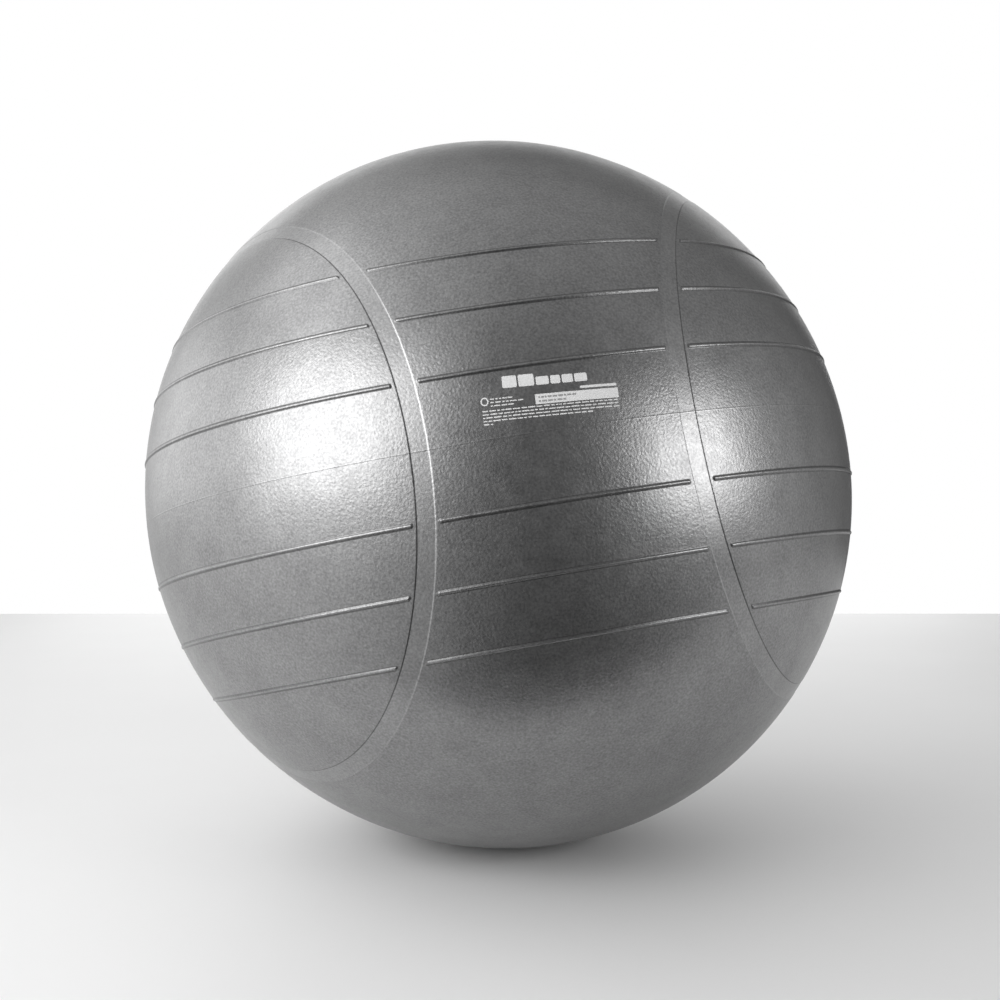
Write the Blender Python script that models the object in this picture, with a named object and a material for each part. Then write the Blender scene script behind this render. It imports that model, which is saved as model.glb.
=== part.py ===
"""Exercise ball: a hollow moulded PVC skin, standing on the small flat its own weight makes, with its valve.

The ball's own frame has its origin at the ball's centre and Z along the moulding axis, towards the valve.
Azimuth is counted from -Y towards +X. An empty leans that frame the way the ball lies.
"""

import math

import bmesh
import bpy
from mathutils import Matrix, Vector

# Skin, in metres, with angles in degrees
BALL_RADIUS = 0.325
WALL = 0.0009
CONTACT_SAG = 0.0019
MERIDIANS = 48
RIB_STEP = 8.54
RIB_COUNT = 3
RING_COUNT = 10
RIB_WIDTH = 0.0038
RIB_HEIGHT = 0.0007

# Round bands sunk in the skin, each centred on the seam
BAND_COUNT = 3
FIRST_BAND_AZIMUTH = 69.3
BAND_RADIUS = 41.2
BAND_WIDTH = 0.0158
BAND_DEPTH = 0.0004
BAND_FLANK = 0.0009
RIB_END_GAP = 0.0020
RIB_END_LENGTH = 0.0018

# The skin has stretched unevenly: the pattern is drawn in sideways, bows up at the sides and fans out to -X
PATTERN_SQUEEZE = 0.10
PATTERN_BOW = 0.030
PATTERN_FAN = 0.037

# Valve seat, a soft bush welded into the hole at the top of the moulding axis
TURNED_SEGMENTS = 32
GAP = 0.0003
HOLE_RADIUS = 0.0105
NECK_RADIUS = HOLE_RADIUS - GAP
SEAT_RISE = 0.0003
DISH_RADIUS = 0.0088
DISH_DEPTH = 0.0012
BORE_RADIUS = 0.0043
FLANGE_RADIUS = 0.022
FLANGE_EDGE = 0.0009
FLANGE_ROOT = 0.0028
TUBE_RADIUS = 0.0070
TUBE_LENGTH = 0.0190
NECK_CHAMFER = 0.0006
BORE_CHAMFER = 0.0005
TUBE_CHAMFER = 0.0008
ROOT_CHAMFER = 0.0015

# Valve plug, pushed into the seat
HEAD_RADIUS = DISH_RADIUS - GAP
HEAD_THICKNESS = 0.0014
HEAD_CROWN = 0.0004
HEAD_CHAMFER = 0.0006
BARB_RADIUS = BORE_RADIUS - GAP
STEM_RADIUS = 0.0036
BARB_COUNT = 3
BARB_PITCH = 0.0040
BARB_LENGTH = 0.0016
BARB_LEAD = 0.0003
FIRST_BARB = 0.0030
STEM_LENGTH = 0.0185
TIP_RADIUS = 0.0024
TIP_TAPER = 0.0016

# How the ball lies: its axis leans this far to the left and this far back
LEAN_LEFT = 9.2
LEAN_BACK = 6.7

CENTRE_HEIGHT = BALL_RADIUS - CONTACT_SAG

# A point this close to a cut is moved onto it, so that no face is a sliver
SNAP = math.radians(0.08)


def on_seam(azimuth):
    """Unit vector to the seam at this azimuth."""
    turn = math.radians(azimuth)
    return Vector((math.sin(turn), -math.cos(turn), 0.0))


def lying():
    """Turns the ball's own frame the way the ball lies."""
    back = Matrix.Rotation(math.radians(-LEAN_BACK), 3, "X")
    left = Matrix.Rotation(math.radians(-LEAN_LEFT), 3, "Y")
    return left @ back


def material(name, color, roughness, coat=0.0):
    made = bpy.data.materials.new(name)
    made.use_nodes = True
    shader = made.node_tree.nodes["Principled BSDF"]
    shader.inputs["Base Color"].default_value = (*color, 1.0)
    shader.inputs["Roughness"].default_value = roughness
    shader.inputs["Coat Weight"].default_value = coat
    return made


def add_object(name, bm, parent, made_of, crease=35.0):
    bmesh.ops.recalc_face_normals(bm, faces=bm.faces)
    mesh = bpy.data.meshes.new(name)
    bm.to_mesh(mesh)
    bm.free()
    mesh.shade_smooth()
    mesh.set_sharp_from_angle(angle=math.radians(crease))
    mesh.materials.append(made_of)
    obj = bpy.data.objects.new(name, mesh)
    bpy.context.collection.objects.link(obj)
    obj.parent = parent
    return obj


def add_empty(name, location, parent=None):
    empty = bpy.data.objects.new(name, None)
    bpy.context.collection.objects.link(empty)
    empty.empty_display_size = 0.05
    empty.location = location
    empty.parent = parent
    return empty


# ---- skin ----

BAND_CENTRES = [on_seam(FIRST_BAND_AZIMUTH + 360.0 * k / BAND_COUNT) for k in range(BAND_COUNT)]
DOWN = lying().transposed() @ Vector((0.0, 0.0, -1.0))


def share(value):
    return max(0.0, min(1.0, value))


def off_rib(unit):
    """Distance along the skin from the middle of the nearest rib."""
    latitude = math.degrees(math.asin(share(abs(unit.z))))
    nearest = max(1, min(RIB_COUNT, round(latitude / RIB_STEP)))
    return math.radians(abs(latitude - nearest * RIB_STEP)) * BALL_RADIUS


def on_rib(unit):
    return off_rib(unit) < RIB_WIDTH / 2


def skin_height(unit):
    """How far the outside stands above the plain sphere in this direction: ribs above it, bands below."""
    rib = share(1.0 - 2.0 * off_rib(unit) / RIB_WIDTH)
    band = 0.0
    for centre in BAND_CENTRES:
        off_middle = abs(unit.angle(centre) - math.radians(BAND_RADIUS)) * BALL_RADIUS
        past_edge = off_middle - BAND_WIDTH / 2
        band = max(band, share(-past_edge / BAND_FLANK))
        rib *= share((past_edge - RIB_END_GAP) / RIB_END_LENGTH)
    return rib * RIB_HEIGHT - band * BAND_DEPTH


def stretched(unit):
    """Where this direction of the even pattern is on the stretched skin. The valve's end stays as it was."""
    x, y, z = unit
    drawn_in = 1.0 - PATTERN_SQUEEZE * (1.0 - z**4)
    return Vector((x * drawn_in, y, z + PATTERN_BOW * x * x - PATTERN_FAN * x * z)).normalized()


def ring(bm, latitude, radius):
    level = math.radians(latitude)
    made = []
    for step in range(MERIDIANS):
        flat = on_seam(360.0 * step / MERIDIANS) * math.cos(level)
        made.append(bm.verts.new((flat + Vector((0.0, 0.0, math.sin(level)))) * radius))
    return made


def bridge(bm, first, second):
    for step in range(MERIDIANS):
        after = (step + 1) % MERIDIANS
        bm.faces.new((first[step], first[after], second[after], second[step]))


def sphere_grid(bm, latitudes, radius):
    """A sphere of faces between these rings, open at the top one and closed at the lower pole."""
    rings = [ring(bm, latitude, radius) for latitude in latitudes]
    for upper, lower in zip(rings, rings[1:]):
        bridge(bm, upper, lower)
    pole = bm.verts.new((0.0, 0.0, -radius))
    for step in range(MERIDIANS):
        after = (step + 1) % MERIDIANS
        bm.faces.new((rings[-1][step], rings[-1][after], pole))


def toward(axis, unit, angle):
    """The direction at this angle from the axis, on the same side of it as unit."""
    across = (unit - axis * unit.dot(axis)).normalized()
    return axis * math.cos(angle) + across * math.sin(angle)


def cut_circle(bm, axis, angle, only=None):
    """Cuts along the circle at this angle from the axis, through all faces or those that `only` picks."""
    faces = [face for face in bm.faces if only is None or only(face.calc_center_median().normalized())]
    touched = list(dict.fromkeys(vert for face in faces for vert in face.verts))
    for vert in touched:
        if only is None and abs(vert.co.angle(axis) - angle) < SNAP:
            vert.co = toward(axis, vert.co.normalized(), angle) * vert.co.length
    side = {vert: math.cos(angle) - vert.co.normalized().dot(axis) for vert in touched}
    on_circle = {vert for vert in touched if abs(side[vert]) < 1e-6}
    for edge in list(dict.fromkeys(edge for face in faces for edge in face.edges)):
        start, end = edge.verts
        if start in on_circle or end in on_circle or side[start] * side[end] > 0:
            continue
        low, high = 0.0, 1.0
        for _ in range(50):
            middle = (low + high) / 2
            here = start.co.lerp(end.co, middle).normalized()
            if (math.cos(angle) - here.dot(axis)) * side[start] > 0:
                low = middle
            else:
                high = middle
        _, made = bmesh.utils.edge_split(edge, start, low)
        made.co = toward(axis, start.co.lerp(end.co, low).normalized(), angle) * start.co.length
        on_circle.add(made)
    for face in faces:
        ends = [vert for vert in face.verts if vert in on_circle]
        if len(ends) == 2 and not any(set(edge.verts) == set(ends) for edge in face.edges):
            bmesh.utils.face_split(face, ends[0], ends[1])


def flatten(verts, depth):
    """Presses the foot of a sphere flat, at this depth below the ball's centre."""
    for vert in verts:
        if vert.co.dot(DOWN) > depth - 1e-6:
            vert.co *= depth / vert.co.dot(DOWN)


def build_skin(parent, made_of):
    hole = 90.0 - math.degrees(math.asin(HOLE_RADIUS / BALL_RADIUS))
    plain = [step * RIB_STEP for step in range(-RING_COUNT, RING_COUNT + 1)]
    half_rib = math.degrees(RIB_WIDTH / 2 / BALL_RADIUS)
    feet = [side * (k * RIB_STEP) + edge for side in (-1, 1) for k in range(1, RIB_COUNT + 1)
            for edge in (-half_rib, half_rib)]

    outside = bmesh.new()
    sphere_grid(outside, sorted([hole] + plain + feet, reverse=True), BALL_RADIUS)
    edges = (BAND_WIDTH / 2, BAND_WIDTH / 2 - BAND_FLANK)
    rib_ends = (BAND_WIDTH / 2 + RIB_END_GAP, BAND_WIDTH / 2 + RIB_END_GAP + RIB_END_LENGTH)
    for centre in BAND_CENTRES:
        for distance in edges:
            for side in (-1, 1):
                cut_circle(outside, centre, math.radians(BAND_RADIUS) + side * distance / BALL_RADIUS)
        for distance in rib_ends:
            for side in (-1, 1):
                cut_circle(outside, centre, math.radians(BAND_RADIUS) + side * distance / BALL_RADIUS, on_rib)
    for vert in outside.verts:
        unit = vert.co.normalized()
        vert.co = stretched(unit) * (BALL_RADIUS + skin_height(unit))
    cut_circle(outside, DOWN, math.acos(CENTRE_HEIGHT / BALL_RADIUS))
    flatten(outside.verts, CENTRE_HEIGHT)
    bmesh.ops.triangulate(outside, faces=outside.faces)

    inner_radius = BALL_RADIUS - WALL
    inner_depth = CENTRE_HEIGHT - WALL
    inside = bmesh.new()
    sphere_grid(inside, sorted([hole] + plain, reverse=True), inner_radius)
    cut_circle(inside, DOWN, math.acos(inner_depth / inner_radius))
    flatten(inside.verts, inner_depth)
    bmesh.ops.triangulate(inside, faces=inside.faces)
    bmesh.ops.reverse_faces(inside, faces=inside.faces)

    inner_mesh = bpy.data.meshes.new("inside")
    inside.to_mesh(inner_mesh)
    inside.free()
    outside.from_mesh(inner_mesh)
    bpy.data.meshes.remove(inner_mesh)
    rims = [edge for edge in outside.edges if edge.is_boundary]
    bmesh.ops.bridge_loops(outside, edges=rims)
    bmesh.ops.triangulate(outside, faces=outside.faces)
    return add_object("ball_shell", outside, parent, made_of, crease=14.0)


# ---- valve ----


def turned(name, profile, parent, made_of):
    """A body turned about Z from (radius, height) points, which start and end on the axis or form a loop."""
    bm = bmesh.new()
    solid = profile[0][0] == 0.0
    columns = []
    for radius, height in profile:
        if radius == 0.0:
            columns.append([bm.verts.new((0.0, 0.0, height))] * TURNED_SEGMENTS)
            continue
        turns = [math.tau * step / TURNED_SEGMENTS for step in range(TURNED_SEGMENTS)]
        columns.append([bm.verts.new((radius * math.cos(a), radius * math.sin(a), height)) for a in turns])
    pairs = list(zip(columns, columns[1:]))
    if not solid:
        pairs.append((columns[-1], columns[0]))
    for here, there in pairs:
        for step in range(TURNED_SEGMENTS):
            after = (step + 1) % TURNED_SEGMENTS
            corners = [here[step], here[after], there[after], there[step]]
            bm.faces.new(list(dict.fromkeys(corners)))
    return add_object(name, bm, parent, made_of)


def sphere_level(radius, out):
    return math.sqrt(radius**2 - out**2)


def build_seat(parent, made_of):
    top = BALL_RADIUS + SEAT_RISE
    dish = top - DISH_DEPTH
    under_skin = BALL_RADIUS - WALL - GAP
    edge_level = sphere_level(under_skin, FLANGE_RADIUS)
    flange_middle = (NECK_RADIUS + FLANGE_RADIUS) / 2
    foot = BALL_RADIUS - TUBE_LENGTH
    profile = [
        (BORE_RADIUS, foot),
        (BORE_RADIUS, dish - BORE_CHAMFER),
        (BORE_RADIUS + BORE_CHAMFER, dish),
        (DISH_RADIUS, dish),
        (DISH_RADIUS, top),
        (NECK_RADIUS - NECK_CHAMFER, top),
        (NECK_RADIUS, top - NECK_CHAMFER),
        (NECK_RADIUS, sphere_level(under_skin, NECK_RADIUS)),
        (flange_middle, sphere_level(under_skin, flange_middle)),
        (FLANGE_RADIUS, edge_level),
        (FLANGE_RADIUS, edge_level - FLANGE_EDGE),
        (TUBE_RADIUS + ROOT_CHAMFER, under_skin - FLANGE_ROOT),
        (TUBE_RADIUS, under_skin - FLANGE_ROOT - ROOT_CHAMFER),
        (TUBE_RADIUS, foot + TUBE_CHAMFER),
        (TUBE_RADIUS - TUBE_CHAMFER, foot),
    ]
    return turned("valve_seat", profile, parent, made_of)


def build_plug(parent, made_of):
    """The plug, with its origin where its head sits in the seat's dish."""
    profile = [(0.0, -STEM_LENGTH), (TIP_RADIUS, -STEM_LENGTH), (STEM_RADIUS, TIP_TAPER - STEM_LENGTH)]
    for barb in reversed(range(BARB_COUNT)):
        level = -FIRST_BARB - barb * BARB_PITCH
        profile += [
            (STEM_RADIUS, level - BARB_LENGTH),
            (BARB_RADIUS, level - BARB_LEAD),
            (STEM_RADIUS, level),
        ]
    profile += [
        (STEM_RADIUS, 0.0),
        (HEAD_RADIUS - HEAD_CHAMFER / 2, 0.0),
        (HEAD_RADIUS, HEAD_CHAMFER / 2),
        (HEAD_RADIUS, HEAD_THICKNESS - HEAD_CHAMFER),
        (HEAD_RADIUS - HEAD_CHAMFER, HEAD_THICKNESS),
        (HEAD_RADIUS / 2, HEAD_THICKNESS + HEAD_CROWN * 3 / 4),
        (0.0, HEAD_THICKNESS + HEAD_CROWN),
    ]
    return turned("valve_plug", profile, parent, made_of)


def main():
    for obj in list(bpy.data.objects):
        bpy.data.objects.remove(obj)

    ball = add_empty("ball_frame", (0.0, 0.0, CENTRE_HEIGHT))
    ball.rotation_euler = lying().to_euler()
    slide = add_empty("valve_axis", (0.0, 0.0, BALL_RADIUS + SEAT_RISE - DISH_DEPTH + GAP), ball)

    build_skin(ball, material("skin_pvc", (0.36, 0.36, 0.37), 0.4, 0.15))
    build_seat(ball, material("seat_pvc", (0.30, 0.30, 0.31), 0.45))
    build_plug(slide, material("plug_pvc", (0.78, 0.78, 0.77), 0.4))


main()
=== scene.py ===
"""Exercise ball: the looks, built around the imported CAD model.

The ball's own frame is the CAD model's: its origin is the ball's centre and Z points along the moulding axis,
towards the valve. Azimuth is counted from -Y towards +X. A direction in the even pattern of ribs and bands is
moved to where it is on the stretched skin by stretched().
"""

import math
import random

import bmesh
import bpy
from mathutils import Matrix, Vector, noise


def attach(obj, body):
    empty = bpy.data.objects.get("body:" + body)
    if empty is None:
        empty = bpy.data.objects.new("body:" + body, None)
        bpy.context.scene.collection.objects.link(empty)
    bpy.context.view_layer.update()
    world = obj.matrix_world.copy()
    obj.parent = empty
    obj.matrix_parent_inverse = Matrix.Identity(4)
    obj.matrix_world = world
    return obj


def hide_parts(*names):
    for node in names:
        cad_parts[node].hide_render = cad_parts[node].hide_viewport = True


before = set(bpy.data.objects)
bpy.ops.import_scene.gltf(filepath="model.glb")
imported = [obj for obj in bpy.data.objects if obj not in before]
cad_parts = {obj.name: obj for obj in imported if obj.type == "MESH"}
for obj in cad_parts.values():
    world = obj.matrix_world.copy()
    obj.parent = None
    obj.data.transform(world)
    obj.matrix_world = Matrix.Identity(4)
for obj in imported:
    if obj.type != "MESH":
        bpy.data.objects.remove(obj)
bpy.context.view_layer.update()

# ---- dimensions shared with the CAD model, in metres, with angles in degrees ----

BALL_RADIUS = 0.325
WALL = 0.0009
CONTACT_SAG = 0.0019
CENTRE_HEIGHT = BALL_RADIUS - CONTACT_SAG
LEAN_LEFT = 9.2
LEAN_BACK = 6.7

# Ribs in planes across the moulding axis, and round bands centred on the seam
RIB_STEP = 8.54
RIB_COUNT = 3
RING_COUNT = 10
BAND_COUNT = 3
FIRST_BAND_AZIMUTH = 69.3
BAND_RADIUS = 41.2
BAND_WIDTH = 0.0158
RIB_END_GAP = 0.0020

# The skin has stretched unevenly: the pattern is drawn in sideways, bows up at the sides and fans out to -X
PATTERN_SQUEEZE = 0.10
PATTERN_BOW = 0.030
PATTERN_FAN = 0.037

# Valve seat
GAP = 0.0003
HOLE_RADIUS = 0.0105
NECK_RADIUS = HOLE_RADIUS - GAP
SEAT_RISE = 0.0003
DISH_RADIUS = 0.0088
DISH_DEPTH = 0.0012
BORE_RADIUS = 0.0043
FLANGE_RADIUS = 0.022
FLANGE_EDGE = 0.0009
FLANGE_ROOT = 0.0028
TUBE_RADIUS = 0.0070
TUBE_LENGTH = 0.0190

# Valve plug
HEAD_RADIUS = DISH_RADIUS - GAP
HEAD_THICKNESS = 0.0014
HEAD_CROWN = 0.0004
BARB_RADIUS = BORE_RADIUS - GAP
STEM_RADIUS = 0.0036
BARB_COUNT = 3
BARB_PITCH = 0.0040
BARB_LENGTH = 0.0016
BARB_LEAD = 0.0003
FIRST_BARB = 0.0030
STEM_LENGTH = 0.0185
TIP_RADIUS = 0.0024
TIP_TAPER = 0.0016

# ---- what only the visual has ----

# The relief of the skin. A rib's round profile is raised to the power of its fall, so that its foot is soft
RIB_WIDTH = 0.0035
RIB_HEIGHT = 0.0009
RIB_FALL = 1.4
BAND_DEPTH = 0.00026
BAND_FLANK = 0.0012
SEAM_WIDTH = 0.0008
SEAM_HEIGHT = 0.00008
# Painted shade: the skin's colour is darker along each side of a rib, where shade falls in its crease, this
# far from its middle, in half widths of the rib
RIB_SHADE_FROM = 0.4
RIB_SHADE_TO = 1.2
# Painted shade also darkens the flank along each band's inner edge, from this share of the flank's width on
FLANK_SHADE_FROM = 0.2

# The skin's mesh has plain rings and meridians, and closer lines in these places: along ribs and across their
# ends, in half widths of the rib; along the seam, in half widths of the seam; along the edges of bands, in
# widths of the flank; and below the hole, in degrees
MERIDIANS = 240
RINGS_PER_STEP = 6
INNER_RINGS = 40
RIB_LINES = (-1.25, -1.0, -0.8, -0.6, -0.4, -0.2, 0.0, 0.2, 0.4, 0.6, 0.8, 1.0, 1.25)
RIB_END_LINES = (0.0, 0.2, 0.45, 0.75, 1.0, 1.3)
SEAM_LINES = (-2.0, -1.0, -0.5, 0.0, 0.5, 1.0, 2.0)
BAND_LINES = (-1.6, -1.0, -0.8, -0.5, -0.2, 0.0, 0.6)
HOLE_LINES = (0.0, 0.05, 0.2)
# Depths of the rings on the hole's edge
HOLE_EDGE = (0.0001, 0.0004, WALL)
# The lines round a rib's end cut only faces this near its middle, in half widths, and this near a band
END_REACH = 1.3
END_LENGTH = 0.02
# The flat at the bottom is looked for beyond this share of the centre's height
FOOT_FROM = 0.97
SNAP = 0.00005

# The ball isn't quite round: longer along one leaning line across it and shorter along the other
OVAL = 0.0089
LONG_AXIS = Vector((-0.682, 0.0, 0.731))
SHORT_AXIS = Vector((0.731, 0.0, 0.682))
# Slow unevenness of the moulded skin: (size of the waves, height)
WAVES = ((0.075, 0.00022), (0.030, 0.00005))
# The oval and the waves fade in between these angles from the valve
EVEN_TO = 5.0
UNEVEN_FROM = 25.0

# How far the flange's underside comes down at the tube, below its root
ROOT_DROP = 0.0008
# Roundings of the valve's corners, and the angle from which an edge shows sharp, in degrees
SEAT_ROUNDING = 0.0004
PLUG_ROUNDING = 0.00035
VALVE_CREASE = 50.0

# The print's place on the skin, the half thickness of its ink and the angle from which its edges show sharp
PRINT_AZIMUTH = 0.0
PRINT_LATITUDE = 4.6
PRINT_TURN = -2.5
INK = 0.00006
INK_CREASE = 40.0

# The print's layout, in metres along and up from its own origin. Blocks are (width, height), bars are
# (left, bottom, width, height) and rows of small print are (left, right, bottom)
BLOCKS_LEFT = 0.0155
BLOCKS_BOTTOM = 0.0082
BLOCK_GAP = 0.0013
BLOCK_CORNER = 0.0008
TALL_BLOCK = 0.0085
LOW_BLOCK = 0.0060
BLOCKS = (
    (0.0110, TALL_BLOCK),
    (0.0120, TALL_BLOCK),
    (0.0100, LOW_BLOCK),
    (0.0075, LOW_BLOCK),
    (0.0085, LOW_BLOCK),
    (0.0100, LOW_BLOCK),
)
THIN_BAR = (0.0745, 0.0032, 0.0290, 0.0018)
WHITE_BOX = (0.0390, -0.0054, 0.0650, 0.0071)
RING_MIDDLE = (0.0007, 0.0)
RING_RADIUS = 0.0030
RING_WIDTH = 0.0009
ROWS_BY_RING = ((0.0050, 0.0220, 0.0010), (0.0050, 0.0300, -0.0014), (0.0050, 0.0225, -0.0038))
ROWS_BELOW = (
    (-0.0018, 0.1030, -0.0072),
    (-0.0018, 0.1030, -0.0095),
    (-0.0018, 0.1035, -0.0118),
    (-0.0018, 0.0820, -0.0141),
    (-0.0018, 0.0052, -0.0164),
)
ROWS_IN_BOX = ((0.0415, 0.0690, -0.0012), (0.0415, 0.0620, -0.0040))

# A bar's corner radius, the length of the pieces in which it bends with the skin, and half the height that its
# ends have at least
BAR_CORNER = 0.0002
BAR_PIECE = 0.004
THINNEST_END = 1e-6

# Widths of dashes and gaps are drawn at random from these ranges, and heights as a share of the full height.
# No dash starts in the last stretch of its row
DASH_HEIGHT = 0.0009
DASH_SHARES = (0.8, 1.0)
DASH_WIDTHS = (0.0016, 0.0062)
DASH_GAPS = (0.0006, 0.0011)
LAST_DASH = 0.0015
BOX_DASH_HEIGHT = 0.0013
BOX_DASH_WIDTHS = (0.0012, 0.0040)
BOX_DASH_GAP = 0.0008
LAST_BOX_DASH = 0.001


def on_seam(azimuth):
    """Unit vector to the seam at this azimuth."""
    turn = math.radians(azimuth)
    return Vector((math.sin(turn), -math.cos(turn), 0.0))


LYING = Matrix.Rotation(math.radians(-LEAN_LEFT), 3, "Y") @ Matrix.Rotation(math.radians(-LEAN_BACK), 3, "X")
DOWN = LYING.transposed() @ Vector((0.0, 0.0, -1.0))
CENTRE = Vector((0.0, 0.0, CENTRE_HEIGHT))
BAND_CENTRES = [on_seam(FIRST_BAND_AZIMUTH + 360.0 * k / BAND_COUNT) for k in range(BAND_COUNT)]


def share(value):
    """The value, kept between 0 and 1."""
    return max(0.0, min(1.0, value))


def smooth(value):
    """The value, eased into a soft step from 0 to 1."""
    value = share(value)
    return value * value * (3.0 - 2.0 * value)


# ---- the shape of the skin ----


def off_rib(unit):
    """Distance along the skin from the middle of the nearest rib."""
    latitude = math.degrees(math.asin(share(abs(unit.z))))
    nearest = max(1, min(RIB_COUNT, round(latitude / RIB_STEP)))
    return math.radians(abs(latitude - nearest * RIB_STEP)) * BALL_RADIUS


def across_band(unit):
    """Distance along the skin from the middle of the nearest band, less than zero inside its circle."""
    angles = [math.acos(max(-1.0, min(1.0, unit.dot(centre)))) for centre in BAND_CENTRES]
    return min((a - math.radians(BAND_RADIUS) for a in angles), key=abs) * BALL_RADIUS


def past_band(unit):
    """Distance along the skin from the nearest edge of a band, less than zero on the band."""
    return abs(across_band(unit)) - BAND_WIDTH / 2


def from_crest(unit, past):
    """How far the nearest rib's crest is, sideways and beyond its end, in half widths of the rib."""
    half = RIB_WIDTH / 2
    return off_rib(unit) / half, max(0.0, RIB_END_GAP + half - past) / half


def relief(unit):
    """Height of the ribs, bands and seam above the plain skin, in this direction of the even pattern."""
    past = past_band(unit)
    across, along = from_crest(unit, past)
    rib = share(1.0 - across**2 - along**2) ** RIB_FALL
    band = smooth(-past / BAND_FLANK)
    seam = share(1.0 - (unit.z * BALL_RADIUS / (SEAM_WIDTH / 2)) ** 2)
    return rib * RIB_HEIGHT - band * BAND_DEPTH + seam * SEAM_HEIGHT


def look(unit):
    """The skin's look in this direction: 0 plain, 1 on a band, 2 painted shade in a rib's crease or on a
    band's inner flank.
    """
    past = past_band(unit)
    # Painted shade: darker beside each rib and on the flank along a band's inner edge
    in_rib_shade = RIB_SHADE_FROM < math.hypot(*from_crest(unit, past)) < RIB_SHADE_TO
    on_shaded_flank = -BAND_FLANK < past < -FLANK_SHADE_FROM * BAND_FLANK
    if in_rib_shade or (on_shaded_flank and across_band(unit) < 0.0):
        return 2
    return int(past < 0.0)


def stretched(unit):
    """Where this direction of the even pattern is on the stretched skin. The valve stays at its pole."""
    x, y, z = unit
    drawn_in = 1.0 - PATTERN_SQUEEZE * (1.0 - z**4)
    return Vector((x * drawn_in, y, z + PATTERN_BOW * x * x - PATTERN_FAN * x * z)).normalized()


def unevenness(way):
    """How far the plain skin stands out of the true sphere in this direction. At the valve it doesn't."""
    from_valve = math.degrees(math.acos(share(way.z)))
    fade = smooth((from_valve - EVEN_TO) / (UNEVEN_FROM - EVEN_TO))
    if fade == 0.0:
        return 0.0
    lying_way = LYING @ way
    oval = OVAL * (lying_way.dot(LONG_AXIS) ** 2 - lying_way.dot(SHORT_AXIS) ** 2) * BALL_RADIUS
    waves = sum(height * noise.noise(way * (BALL_RADIUS / size)) for size, height in WAVES)
    return fade * (oval + waves)


def on_skin(unit, lift=0.0):
    """The point of the outside in this direction of the even pattern, in the ball's own frame."""
    way = stretched(unit)
    radius = BALL_RADIUS + relief(unit) + unevenness(way) + lift
    return way * radius


# ---- mesh tools ----


def add_piece(name, bm, body, slot, *materials, crease=None, at=CENTRE):
    """Makes a piece of the mesh, lying as the ball does, which rides on this body."""
    bmesh.ops.transform(bm, matrix=LYING.to_4x4(), verts=bm.verts)
    mesh = bpy.data.meshes.new(name)
    bm.to_mesh(mesh)
    bm.free()
    mesh.shade_smooth()
    if crease is not None:
        mesh.set_sharp_from_angle(angle=math.radians(crease))
    for made_of in materials:
        mesh.materials.append(made_of)
    piece = bpy.data.objects.new(name, mesh)
    bpy.context.collection.objects.link(piece)
    piece.location = at
    bpy.context.view_layer.update()
    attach(piece, body)
    return piece


def ring(bm, latitude, radius):
    """A ring of vertices on the sphere at this latitude."""
    level = math.radians(latitude)
    made = []
    for step in range(MERIDIANS):
        flat = on_seam(360.0 * step / MERIDIANS) * math.cos(level)
        made.append(bm.verts.new((flat + Vector((0.0, 0.0, math.sin(level)))) * radius))
    return made


def bridge(bm, first, second):
    """Faces between two rings of the same number of vertices."""
    for step in range(len(first)):
        after = (step + 1) % len(first)
        bm.faces.new((first[step], first[after], second[after], second[step]))


def close_pole(bm, last, radius):
    """Closes the last ring with a fan round the lower pole, which it gives back."""
    pole = bm.verts.new((0.0, 0.0, -radius))
    for step in range(len(last)):
        bm.faces.new((last[step], last[(step + 1) % len(last)], pole))
    return pole


def with_borders(faces):
    """The faces together with their vertices and edges, each once."""
    verts = dict.fromkeys(vert for face in faces for vert in face.verts)
    edges = dict.fromkeys(edge for face in faces for edge in face.edges)
    return list(verts) + list(edges) + faces


def slice_circle(bm, axis, angle, faces=None):
    """Cuts the sphere along the circle at this angle from the axis, through all faces or just these."""
    whole = bm.verts[:] + bm.edges[:] + bm.faces[:] if faces is None else with_borders(faces)
    middle = axis * (BALL_RADIUS * math.cos(angle))
    cut = bmesh.ops.bisect_plane(bm, geom=whole, dist=SNAP, plane_co=middle, plane_no=axis)
    for item in cut["geom_cut"]:
        if isinstance(item, bmesh.types.BMVert):
            item.co = item.co.normalized() * BALL_RADIUS
    return [item for item in cut["geom"] if isinstance(item, bmesh.types.BMFace)]


def direction(face):
    """Unit vector to the middle of this face."""
    return face.calc_center_median().normalized()


def press_flat(verts, level):
    """Brings back the vertices that are further than this along DOWN."""
    for vert in verts:
        below = vert.co.dot(DOWN) - level
        if below > 0.0:
            vert.co -= DOWN * below


# ---- skin ----


def skin_latitudes():
    """Latitudes of the rings, from the hole down: plain ones, and close ones over each rib and the seam."""
    half_rib = math.degrees(RIB_WIDTH / 2 / BALL_RADIUS)
    half_seam = math.degrees(SEAM_WIDTH / 2 / BALL_RADIUS)
    ribs = [side * k * RIB_STEP for side in (-1, 1) for k in range(1, RIB_COUNT + 1)]
    close = [rib + line * half_rib for rib in ribs for line in RIB_LINES]
    close += [line * half_seam for line in SEAM_LINES]
    step = RIB_STEP / RINGS_PER_STEP
    count = RING_COUNT * RINGS_PER_STEP
    plain = [k * step for k in range(-count, count + 1)]
    apart = [level for level in plain if all(abs(level - other) > step / 3 for other in close)]
    return sorted(apart + close, reverse=True)


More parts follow.
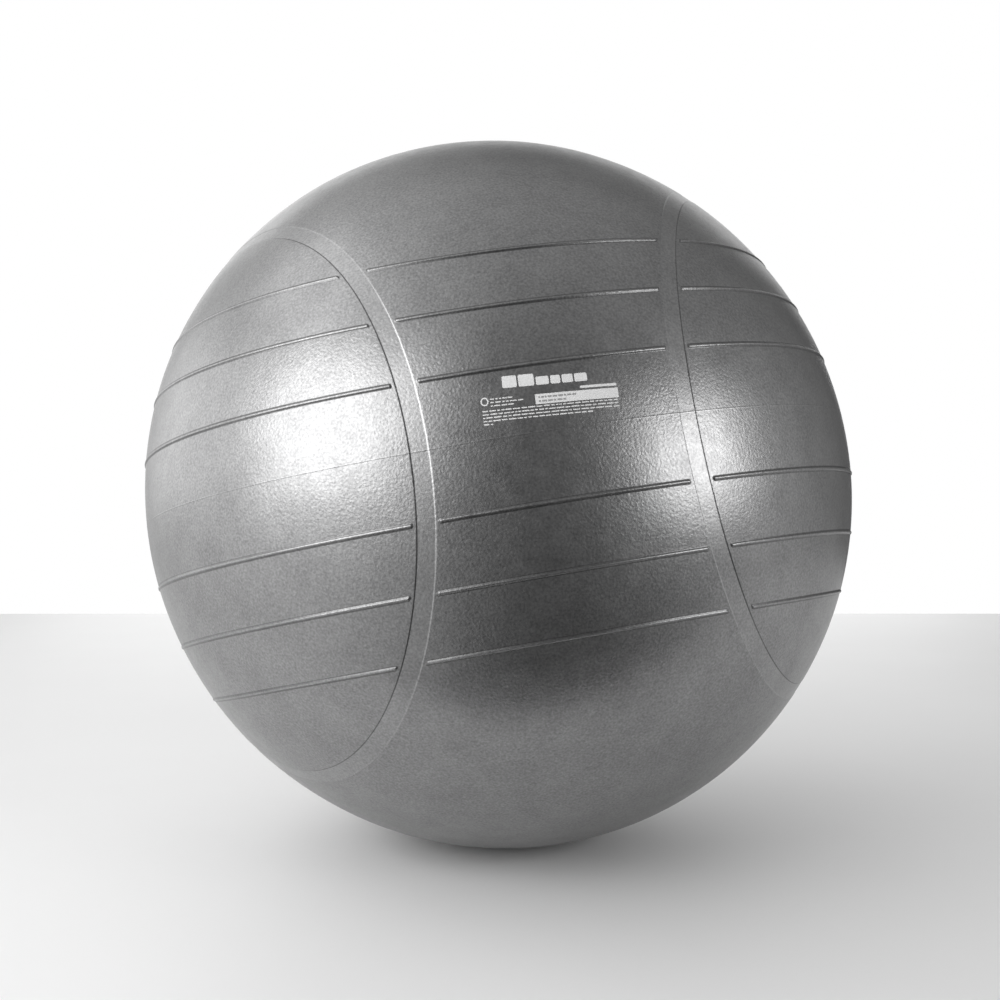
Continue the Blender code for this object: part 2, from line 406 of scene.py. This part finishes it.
def cut_pattern(bm):
    """Cuts lines along the edges of the bands and across the ribs' ends."""
    half = RIB_WIDTH / 2
    for centre in BAND_CENTRES:
        for side in (-1, 1):
            for line in BAND_LINES:
                reach = side * (BAND_WIDTH / 2 + line * BAND_FLANK)
                slice_circle(bm, centre, math.radians(BAND_RADIUS) + reach / BALL_RADIUS)
    ribs = [face for face in bm.faces if off_rib(direction(face)) < END_REACH * half]
    ends = [face for face in ribs if 0.0 < past_band(direction(face)) < END_LENGTH]
    for centre in BAND_CENTRES:
        for side in (-1, 1):
            for line in RIB_END_LINES:
                reach = side * (BAND_WIDTH / 2 + RIB_END_GAP + line * half)
                ends = slice_circle(bm, centre, math.radians(BAND_RADIUS) + reach / BALL_RADIUS, ends)


def build_skin(*looks):
    """The hollow skin, outside and inside, with one of these materials for each look."""
    hole = math.degrees(math.acos(HOLE_RADIUS / BALL_RADIUS))
    bm = bmesh.new()
    levels = [hole - below for below in HOLE_LINES] + skin_latitudes()
    rings = [ring(bm, level, BALL_RADIUS) for level in levels]
    for upper, lower in zip(rings, rings[1:]):
        bridge(bm, upper, lower)
    close_pole(bm, rings[-1], BALL_RADIUS)
    cut_pattern(bm)
    for face in bm.faces:
        face.material_index = look(direction(face))
    for vert in bm.verts:
        vert.co = on_skin(vert.co.normalized())

    # The flat that it rests on, with an edge cut round it
    foot = [face for face in bm.faces if face.calc_center_median().dot(DOWN) > CENTRE_HEIGHT * FOOT_FROM]
    bmesh.ops.bisect_plane(bm, geom=with_borders(foot), plane_co=DOWN * CENTRE_HEIGHT, plane_no=DOWN)
    press_flat(bm.verts, CENTRE_HEIGHT)

    # The edge of the hole, and the inside
    lip = [ring(bm, hole, BALL_RADIUS - depth) for depth in HOLE_EDGE]
    inner_radius = BALL_RADIUS - WALL
    lowest = -90.0 + (90.0 + hole) / INNER_RINGS
    inner_step = (lowest - hole) / INNER_RINGS
    inner = [ring(bm, hole + inner_step * k, inner_radius) for k in range(1, INNER_RINGS)]
    chain = [rings[0]] + lip + inner
    for upper, lower in zip(chain, chain[1:]):
        bridge(bm, lower, upper)
    inside = [vert for made in inner for vert in made] + [close_pole(bm, inner[-1], inner_radius)]
    for vert in inside:
        way = vert.co.normalized()
        vert.co = way * (inner_radius + unevenness(way))
    press_flat(inside, CENTRE_HEIGHT - WALL)
    bmesh.ops.recalc_face_normals(bm, faces=bm.faces)
    piece = add_piece("skin", bm, "ball", "skin", *looks)
    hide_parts("ball_shell")


# ---- print ----


def print_unit(x, y):
    """The direction in the even pattern of a point of the print, given in metres along and up the print."""
    turn = math.radians(PRINT_TURN)
    along = x * math.cos(turn) - y * math.sin(turn)
    up = x * math.sin(turn) + y * math.cos(turn)
    latitude = math.radians(PRINT_LATITUDE) + up / BALL_RADIUS
    azimuth = math.radians(PRINT_AZIMUTH) + along / BALL_RADIUS / math.cos(latitude)
    flat = on_seam(math.degrees(azimuth)) * math.cos(latitude)
    return flat + Vector((0.0, 0.0, math.sin(latitude)))


def ink_bar(bm, left, bottom, width, height, lift=0.0, corner=BAR_CORNER):
    """A bar of ink with rounded corners, following the skin."""
    pieces = max(1, math.ceil(width / BAR_PIECE))
    columns = sorted({0.0, corner, width - corner, width} | {width * k / pieces for k in range(1, pieces)})
    levels = {}
    for out in columns:
        inset = corner - math.sqrt(max(0.0, corner**2 - max(0.0, corner - min(out, width - out)) ** 2))
        inset = min(inset, height / 2 - THINNEST_END)
        for place, y in enumerate((bottom + inset, bottom + height - inset)):
            unit = print_unit(left + out, y)
            for layer, up in enumerate((lift - INK, lift + INK)):
                levels[out, place, layer] = bm.verts.new(on_skin(unit, up))
    for here, there in zip(columns, columns[1:]):
        around = [(0, 0), (1, 0), (1, 1), (0, 1)]
        for (place, layer), (next_place, next_layer) in zip(around, around[1:] + around[:1]):
            bm.faces.new((levels[here, place, layer], levels[there, place, layer],
                          levels[there, next_place, next_layer], levels[here, next_place, next_layer]))
    for end in (columns[0], columns[-1]):
        bm.faces.new([levels[end, place, layer] for place, layer in ((0, 0), (1, 0), (1, 1), (0, 1))])


def ink_ring(bm, x, y, radius, width, segments=40):
    """A plain ring of ink, following the skin."""
    rounds = []
    for reach, up in ((radius, -INK), (radius, INK), (radius - width, INK), (radius - width, -INK)):
        turns = [math.tau * step / segments for step in range(segments)]
        units = [print_unit(x + reach * math.cos(a), y + reach * math.sin(a)) for a in turns]
        rounds.append([bm.verts.new(on_skin(unit, up)) for unit in units])
    for here, there in zip(rounds, rounds[1:] + rounds[:1]):
        bridge(bm, here, there)


def dashes(bm, rng, left, right, bottom):
    """A row of short bars with gaps, as small print looks from afar."""
    place = left
    while place < right - LAST_DASH:
        width = min(rng.uniform(*DASH_WIDTHS), right - place)
        ink_bar(bm, place, bottom, width, DASH_HEIGHT * rng.uniform(*DASH_SHARES))
        place += width + rng.uniform(*DASH_GAPS)


def build_print(white_ink, grey_ink):
    """A generic print: plain blocks, a ring, a box and rows of dashes, none of which can be read."""
    rng = random.Random(7)
    bm = bmesh.new()
    place = BLOCKS_LEFT
    for width, height in BLOCKS:
        ink_bar(bm, place, BLOCKS_BOTTOM, width, height, corner=BLOCK_CORNER)
        place += width + BLOCK_GAP
    ink_bar(bm, *THIN_BAR)
    ink_bar(bm, *WHITE_BOX)
    ink_ring(bm, *RING_MIDDLE, RING_RADIUS, RING_WIDTH)
    for row in ROWS_BY_RING + ROWS_BELOW:
        dashes(bm, rng, *row)
    bmesh.ops.recalc_face_normals(bm, faces=bm.faces)
    add_piece("print_white", bm, "ball", "skin", white_ink, crease=INK_CREASE)

    bm = bmesh.new()
    for left, right, bottom in ROWS_IN_BOX:
        place = left
        while place < right - LAST_BOX_DASH:
            width = rng.uniform(*BOX_DASH_WIDTHS)
            ink_bar(bm, place, bottom, width, BOX_DASH_HEIGHT, lift=INK)
            place += width + BOX_DASH_GAP
    bmesh.ops.recalc_face_normals(bm, faces=bm.faces)
    add_piece("print_grey", bm, "ball", "skin", grey_ink, crease=INK_CREASE)


# ---- valve ----


def turned(bm, profile, segments=96):
    """A body turned about Z from (radius, height) points, which run from axis to axis or form a loop."""
    solid = profile[0][0] == 0.0
    columns = []
    for radius, height in profile:
        if radius == 0.0:
            columns.append([bm.verts.new((0.0, 0.0, height))] * segments)
            continue
        turns = [math.tau * step / segments for step in range(segments)]
        columns.append([bm.verts.new((radius * math.cos(a), radius * math.sin(a), height)) for a in turns])
    pairs = list(zip(columns, columns[1:]))
    if not solid:
        pairs.append((columns[-1], columns[0]))
    for here, there in pairs:
        for step in range(segments):
            after = (step + 1) % segments
            corners = [here[step], here[after], there[after], there[step]]
            bm.faces.new(list(dict.fromkeys(corners)))
    bmesh.ops.recalc_face_normals(bm, faces=bm.faces)


def rounded(profile, radius, steps=4, most=0.45):
    """The profile with each corner rounded by this radius, or by at most this share of its shorter side."""
    made = []
    closed = profile[0][0] != 0.0
    last = len(profile) - 1
    for place, (out, level) in enumerate(profile):
        if not closed and place in (0, last):
            made.append((out, level))
            continue
        corner = Vector((out, level))
        before = Vector(profile[place - 1]) - corner
        after = Vector(profile[(place + 1) % len(profile)]) - corner
        reach = min(radius, before.length * most, after.length * most)
        start = corner + before.normalized() * reach
        end = corner + after.normalized() * reach
        for step in range(steps + 1):
            t = step / steps
            point = start * (1 - t) ** 2 + corner * (2 * t * (1 - t)) + end * t**2
            made.append((point.x, point.y))
    return made


def sphere_level(radius, out):
    """Height of the sphere of this radius, this far out from its axis."""
    return math.sqrt(radius**2 - out**2)


def build_seat(made_of):
    """The bush in the skin's hole: a dish for the plug's head, a flange under the skin and the tube."""
    top = BALL_RADIUS + SEAT_RISE
    dish = top - DISH_DEPTH
    under_skin = BALL_RADIUS - WALL - GAP
    edge_level = sphere_level(under_skin, FLANGE_RADIUS)
    flange_middle = (NECK_RADIUS + FLANGE_RADIUS) / 2
    foot = BALL_RADIUS - TUBE_LENGTH
    profile = [
        (BORE_RADIUS, foot),
        (BORE_RADIUS, dish),
        (DISH_RADIUS, dish),
        (DISH_RADIUS, top),
        (NECK_RADIUS, top),
        (NECK_RADIUS, sphere_level(under_skin, NECK_RADIUS)),
        (flange_middle, sphere_level(under_skin, flange_middle)),
        (FLANGE_RADIUS, edge_level),
        (FLANGE_RADIUS, edge_level - FLANGE_EDGE),
        (TUBE_RADIUS, under_skin - FLANGE_ROOT - ROOT_DROP),
        (TUBE_RADIUS, foot),
    ]
    bm = bmesh.new()
    turned(bm, rounded(profile, SEAT_ROUNDING))
    piece = add_piece("valve_seat_rubber", bm, "ball", "valve_seat", made_of, crease=VALVE_CREASE)
    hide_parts("valve_seat")


def build_plug(made_of):
    """The plug: a barbed stem, and a head crowned as a parabola, three quarters as high halfway out."""
    profile = [(0.0, -STEM_LENGTH), (TIP_RADIUS, -STEM_LENGTH), (STEM_RADIUS, TIP_TAPER - STEM_LENGTH)]
    for barb in reversed(range(BARB_COUNT)):
        level = -FIRST_BARB - barb * BARB_PITCH
        profile += [
            (STEM_RADIUS, level - BARB_LENGTH),
            (BARB_RADIUS, level - BARB_LEAD),
            (STEM_RADIUS, level),
        ]
    profile += [
        (STEM_RADIUS, 0.0),
        (HEAD_RADIUS, 0.0),
        (HEAD_RADIUS, HEAD_THICKNESS),
        (HEAD_RADIUS / 2, HEAD_THICKNESS + HEAD_CROWN * 3 / 4),
        (0.0, HEAD_THICKNESS + HEAD_CROWN),
    ]
    bm = bmesh.new()
    turned(bm, rounded(profile, PLUG_ROUNDING))
    at = CENTRE + LYING @ Vector((0.0, 0.0, BALL_RADIUS + SEAT_RISE - DISH_DEPTH + GAP))
    piece = add_piece("valve_plug_moulding", bm, "plug", "valve_plug", made_of, crease=VALVE_CREASE, at=at)
    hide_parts("valve_plug")


# ---- materials ----

# Sizes of the skin's pebbles, its specks of light and dark, and its slower changes of grey and of gloss
PEBBLE = 0.0020
SPECK = 0.0018
MOTTLE = 0.035
GLOSS_PATCH = 0.012
SPECK_SHARE = 0.65
SKIN_ROUGHNESS = (0.33, 0.39)
# The same for the ink and for the valve's mouldings
INK_WEAR = 0.0012
INK_PATCH = 0.004
INK_ROUGHNESS = (0.40, 0.52)
MOULDING_CLOUD = 0.006
MOULDING_PATCH = 0.002
MOULDING_GRAIN = 0.0005
ROUGHNESS_SPREAD = 0.05


class Nodes:
    """A material, and short ways to add nodes to it."""

    def __init__(self, name):
        self.material = bpy.data.materials.new(name)
        self.material.use_nodes = True
        self.tree = self.material.node_tree
        self.shader = self.tree.nodes["Principled BSDF"]

    def add(self, kind, settings=None, **inputs):
        """Adds a node of this kind. An underscore in an input's name stands for a space."""
        node = self.tree.nodes.new(kind)
        for key, value in (settings or {}).items():
            setattr(node, key, value)
        for key, value in inputs.items():
            self.put(node.inputs[key.replace("_", " ")], value)
        return node

    def put(self, socket, value):
        """Links the value to the socket if it comes out of a node, and else sets it there."""
        if isinstance(value, bpy.types.NodeSocket):
            self.tree.links.new(value, socket)
        else:
            socket.default_value = value

    def set(self, **inputs):
        """Puts values on the shader's own sockets."""
        for key, value in inputs.items():
            self.put(self.shader.inputs[key.replace("_", " ")], value)

    def noise(self, size, detail=2.0, roughness=0.5):
        """Noise whose features are about this many metres across, in the piece's own frame."""
        where = self.add("ShaderNodeTexCoord").outputs["Object"]
        kind = "ShaderNodeTexNoise"
        made = self.add(kind, Vector=where, Scale=1.0 / size, Detail=detail, Roughness=roughness)
        return made.outputs["Fac"]

    def span(self, value, low, high, start=0.3, end=0.7):
        """The value, mapped from start..end to low..high."""
        made = self.add("ShaderNodeMapRange", Value=value)
        for key, number in (("From Min", start), ("From Max", end), ("To Min", low), ("To Max", high)):
            made.inputs[key].default_value = number
        return made.outputs["Result"]

    def shade(self, value, dark, light):
        """Grey between dark and light by this value from 0 to 1."""
        made = self.add("ShaderNodeMix", {"data_type": "RGBA"})
        self.put(made.inputs["Factor"], value)
        self.put(made.inputs["A"], (*dark, 1.0))
        self.put(made.inputs["B"], (*light, 1.0))
        return made.outputs["Result"]

    def blend(self, first, second, weight):
        """Two values averaged, with this weight on the second."""
        made = self.add("ShaderNodeMix")
        for key, value in (("Factor", weight), ("A", first), ("B", second)):
            self.put(made.inputs[key], value)
        return made.outputs["Result"]

    def bump(self, height, strength, distance):
        """The normal of a surface whose relief is this distance high."""
        made = self.add("ShaderNodeBump", Height=height, Strength=strength, Distance=distance)
        return made.outputs["Normal"]


def pearl_skin(name, grain, dark, light):
    """Satin grey PVC with a pearl sheen. Grain is the height of its fine pebbled surface."""
    made = Nodes(name)
    mottle = made.noise(MOTTLE, detail=4.0, roughness=0.6)
    pebbles = made.noise(PEBBLE, detail=1.0)
    specks = made.blend(mottle, made.noise(SPECK, detail=1.0), SPECK_SHARE)
    rough = made.span(made.noise(GLOSS_PATCH, detail=3.0), *SKIN_ROUGHNESS)
    normal = made.bump(pebbles, strength=1.0, distance=grain)
    made.set(Base_Color=made.shade(made.span(specks, 0.0, 1.0), dark, light))
    made.set(Roughness=rough, Normal=normal, Coat_Normal=normal)
    made.set(Metallic=0.95, Coat_Weight=0.12, Coat_Roughness=0.25)
    return made.material


def ink(name, dark, light):
    """Printed ink, slightly worn and less glossy than the skin."""
    made = Nodes(name)
    worn = made.noise(INK_WEAR, detail=3.0)
    made.set(Base_Color=made.shade(made.span(worn, 0.0, 1.0), dark, light))
    made.set(Roughness=made.span(made.noise(INK_PATCH), *INK_ROUGHNESS))
    made.set(Normal=made.bump(worn, strength=0.2, distance=0.0001))
    return made.material


def moulded(name, dark, light, roughness):
    """Soft moulded plastic with a faint grain."""
    made = Nodes(name)
    cloud = made.noise(MOULDING_CLOUD, detail=3.0)
    patches = made.noise(MOULDING_PATCH)
    made.set(Base_Color=made.shade(made.span(cloud, 0.0, 1.0), dark, light))
    made.set(Roughness=made.span(patches, roughness - ROUGHNESS_SPREAD, roughness + ROUGHNESS_SPREAD))
    made.set(Normal=made.bump(made.noise(MOULDING_GRAIN), strength=0.25, distance=0.00008))
    return made.material


# ---- studio ----

CAMERA_DISTANCE = 1.0714
CAMERA_LENS = 40.0
AIM_DOWN = 0.258
AIM_RIGHT = 0.072
FLOOR_FRONT = -0.37
FLOOR_BACK = 1.95
FLOOR_SIDE = 1.8
FLOOR_CLOUD = 0.4
FLOOR_DARK = (0.84, 0.84, 0.84)
FLOOR_LIGHT = (0.86, 0.86, 0.86)
BACKDROP = 1.0

# Where the soft surround is brighter: (side, how narrowly, brightness)
SURROUND = (
    ((-1.0, 0.0, 0.0), 1.0, 1.16),
    ((1.0, 0.0, 0.0), 3.0, 0.5),
    ((0.0, 0.0, 1.0), 3.0, 0.55),
    ((0.0, -1.0, 0.0), 1.0, 0.09),
)

# The soft lights: (name, azimuth, elevation, distance, width, height, brightness)
SOFTBOXES = (
    ("left_softbox", -49.0, 15.5, 1.6, 1.2, 1.0, 2.7),
    ("left_fill", -40.0, 18.0, 1.6, 1.2, 1.0, 1.0),
    ("right_softbox", 56.0, 10.0, 2.0, 0.95, 0.8, 4.5),
    ("left_ceiling", -80.0, 50.0, 2.0, 1.2, 0.8, 0.87),
    ("left_wall", -108.0, 12.0, 2.0, 1.4, 1.0, 0.75),
    ("back_wall", 180.0, 20.0, 2.4, 3.0, 2.0, 1.2),
)


def add_camera():
    """A camera level with the ball's centre, aimed a little down and to the right of it."""
    camera = bpy.data.objects.new("camera", bpy.data.cameras.new("camera"))
    camera.data.lens = CAMERA_LENS
    camera.data.sensor_width = 36.0
    camera.location = CENTRE + Vector((0.0, -CAMERA_DISTANCE, 0.0))
    camera.rotation_euler = (math.radians(90.0 - AIM_DOWN), 0.0, math.radians(-AIM_RIGHT))
    bpy.context.collection.objects.link(camera)
    bpy.context.scene.camera = camera


def add_softbox(name, azimuth, elevation, distance, width, height, brightness):
    """A soft light aimed at the ball, as bright as a white wall where brightness is 1.

    Azimuth is counted from -Y, the camera's side, towards +X.
    """
    light = bpy.data.lights.new(name, "AREA")
    light.shape = "RECTANGLE"
    light.size = width
    light.size_y = height
    light.energy = brightness * math.pi * width * height
    box = bpy.data.objects.new(name, light)
    turn, rise = math.radians(azimuth), math.radians(elevation)
    way = Vector((math.sin(turn) * math.cos(rise), -math.cos(turn) * math.cos(rise), math.sin(rise)))
    box.location = CENTRE + way * distance
    box.rotation_euler = way.to_track_quat("Z", "Y").to_euler()
    box.visible_camera = False
    bpy.context.collection.objects.link(box)


def add_floor():
    """A plain pale floor under the ball."""
    bm = bmesh.new()
    front = [(-FLOOR_SIDE, FLOOR_FRONT), (FLOOR_SIDE, FLOOR_FRONT)]
    back = [(FLOOR_SIDE, FLOOR_BACK), (-FLOOR_SIDE, FLOOR_BACK)]
    bm.faces.new([bm.verts.new((x, y, 0.0)) for x, y in front + back])
    mesh = bpy.data.meshes.new("floor")
    bm.to_mesh(mesh)
    bm.free()
    made = Nodes("floor_paint")
    cloud = made.noise(FLOOR_CLOUD, detail=3.0)
    made.set(Base_Color=made.shade(made.span(cloud, 0.0, 1.0), FLOOR_DARK, FLOOR_LIGHT), Roughness=0.6)
    mesh.materials.append(made.material)
    floor = bpy.data.objects.new("floor", mesh)
    bpy.context.collection.objects.link(floor)


def reckon(tree, operation, first, second):
    """A sum done by a node, on a node's result and a number or another result."""
    node = tree.nodes.new("ShaderNodeMath")
    node.operation = operation
    tree.links.new(first, node.inputs[0])
    if isinstance(second, float):
        node.inputs[1].default_value = second
    else:
        tree.links.new(second, node.inputs[1])
    return node.outputs["Value"]


def add_world():
    """A soft surround, brighter towards some sides, and a white backdrop behind the ball for the camera."""
    world = bpy.data.worlds.new("studio")
    bpy.context.scene.world = world
    world.use_nodes = True
    tree = world.node_tree
    way = tree.nodes.new("ShaderNodeTexCoord").outputs["Generated"]
    total = None
    for side, sharpness, brightness in SURROUND:
        facing = tree.nodes.new("ShaderNodeVectorMath")
        facing.operation = "DOT_PRODUCT"
        facing.inputs[1].default_value = side
        tree.links.new(way, facing.inputs[0])
        part = facing.outputs["Value"]
        for operation, number in (("MAXIMUM", 0.0), ("POWER", sharpness), ("MULTIPLY", brightness)):
            part = reckon(tree, operation, part, number)
        total = part if total is None else reckon(tree, "ADD", total, part)
    soft = tree.nodes["Background"]
    soft.inputs["Color"].default_value = (1.0, 1.0, 1.0, 1.0)
    tree.links.new(total, soft.inputs["Strength"])
    white = tree.nodes.new("ShaderNodeBackground")
    white.inputs["Color"].default_value = (BACKDROP, BACKDROP, BACKDROP, 1.0)
    seen = tree.nodes.new("ShaderNodeLightPath")
    mix = tree.nodes.new("ShaderNodeMixShader")
    tree.links.new(seen.outputs["Is Camera Ray"], mix.inputs["Fac"])
    tree.links.new(soft.outputs["Background"], mix.inputs[1])
    tree.links.new(white.outputs["Background"], mix.inputs[2])
    tree.links.new(mix.outputs["Shader"], tree.nodes["World Output"].inputs["Surface"])


def add_studio():
    """The camera, the floor, the surround and the lights."""
    bpy.context.scene.view_settings.view_transform = "Standard"
    add_camera()
    add_floor()
    add_world()
    for softbox in SOFTBOXES:
        add_softbox(*softbox)


add_studio()
plain_skin = pearl_skin("pearl_skin", grain=0.00018, dark=(0.212, 0.212, 0.214), light=(0.358, 0.358, 0.360))
band_skin = pearl_skin("pearl_band", grain=0.00013, dark=(0.245, 0.245, 0.247), light=(0.385, 0.385, 0.387))
# Painted shade: a darker copy of the skin for the creases beside the ribs and the bands' inner flanks
painted_shade_skin = pearl_skin("pearl_painted_shade", grain=0.0001, dark=(0.12, 0.12, 0.121), light=(0.20, 0.20, 0.201))
build_skin(plain_skin, band_skin, painted_shade_skin)
white_ink = ink("white_ink", dark=(0.72, 0.72, 0.72), light=(0.82, 0.82, 0.82))
grey_ink = ink("grey_ink", dark=(0.30, 0.30, 0.30), light=(0.36, 0.36, 0.36))
build_print(white_ink, grey_ink)
build_seat(moulded("seat_pvc", dark=(0.13, 0.13, 0.132), light=(0.17, 0.17, 0.172), roughness=0.45))
build_plug(moulded("plug_pvc", dark=(0.66, 0.66, 0.65), light=(0.74, 0.74, 0.73), roughness=0.38))
